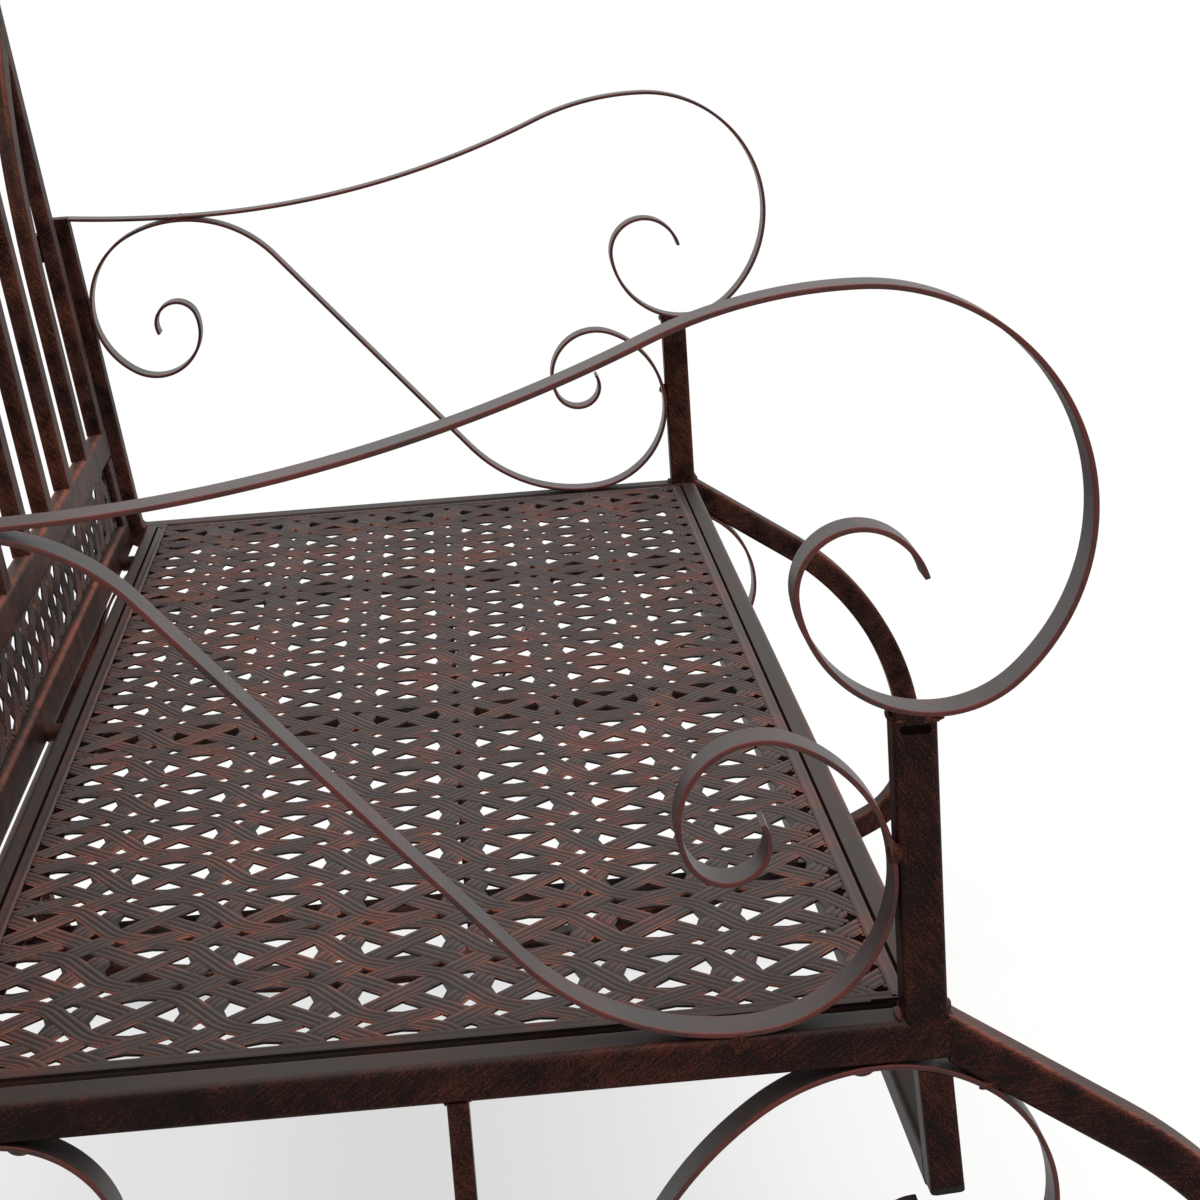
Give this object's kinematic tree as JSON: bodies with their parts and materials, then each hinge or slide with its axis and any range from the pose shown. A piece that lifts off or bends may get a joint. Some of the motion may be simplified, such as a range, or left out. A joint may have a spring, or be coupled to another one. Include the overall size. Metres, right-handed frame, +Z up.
{
  "type": "outdoor rocking bench",
  "caption": "Two-seat outdoor rocking bench in bent steel tube, with scrolled arms, a pierced strapwork seat and a slatted back.",
  "frame": {"origin": "on the floor under the middle of the bench's bounding box, with the bench at rest on its runners", "axes": "+X along the bench to the sitter's left, +Y to the back, +Z up"},
  "size_m": [1.166, 0.8026, 1.0127],
  "materials": {
    "frame_tube": "dark bronze paint brushed with copper at the edges",
    "flat_bar": "dark bronze paint, copper rubbed through along the edges",
    "back_tube": "dark bronze paint brushed with copper",
    "pierced_sheet": "dark bronze paint, copper on the raised strapwork",
    "fixings": "dark bronze paint"
  },
  "bodies": {
    "root": {"arm_left": "flat_bar", "arm_right": "flat_bar", "side_scroll_left": "flat_bar", "side_scroll_right": "flat_bar", "front_post_left": "frame_tube", "front_post_right": "frame_tube", "rear_upright_left": "frame_tube", "rear_upright_right": "frame_tube", "side_rail_left": "frame_tube", "side_rail_right": "frame_tube", "rocker_left": "frame_tube", "rocker_right": "frame_tube", "front_under_scroll_left": "flat_bar", "front_under_scroll_right": "flat_bar", "rear_under_scroll_left": "flat_bar", "rear_under_scroll_right": "flat_bar", "strut_left": "frame_tube", "strut_right": "frame_tube", "stub_left": "frame_tube", "stub_right": "frame_tube", "stub_cap_left": "fixings", "stub_cap_right": "fixings", "back_post_left": "back_tube", "back_post_right": "back_tube", "back_tab_left": "back_tube", "back_tab_right": "back_tube", "band_end_left": "back_tube", "band_end_right": "back_tube", "slat_1": "back_tube", "slat_2": "back_tube", "slat_3": "back_tube", "slat_4": "back_tube", "slat_5": "back_tube", "slat_6": "back_tube", "slat_7": "back_tube", "slat_8": "back_tube", "slat_9": "back_tube", "front_rail": "frame_tube", "back_rail": "frame_tube", "front_stretcher": "frame_tube", "rear_stretcher": "frame_tube", "seat_bearer_1": "frame_tube", "seat_bearer_2": "frame_tube", "seat_bearer_3": "frame_tube", "seat_panel": "pierced_sheet", "band_panel": "pierced_sheet", "band_top_rail": "back_tube", "band_low_rail": "back_tube", "top_rail": "back_tube", "back_spacers": "fixings", "spacer_bolts": "fixings", "tab_bolts": "fixings", "scroll_rivets": "fixings"}
  },
  "joints": []
}
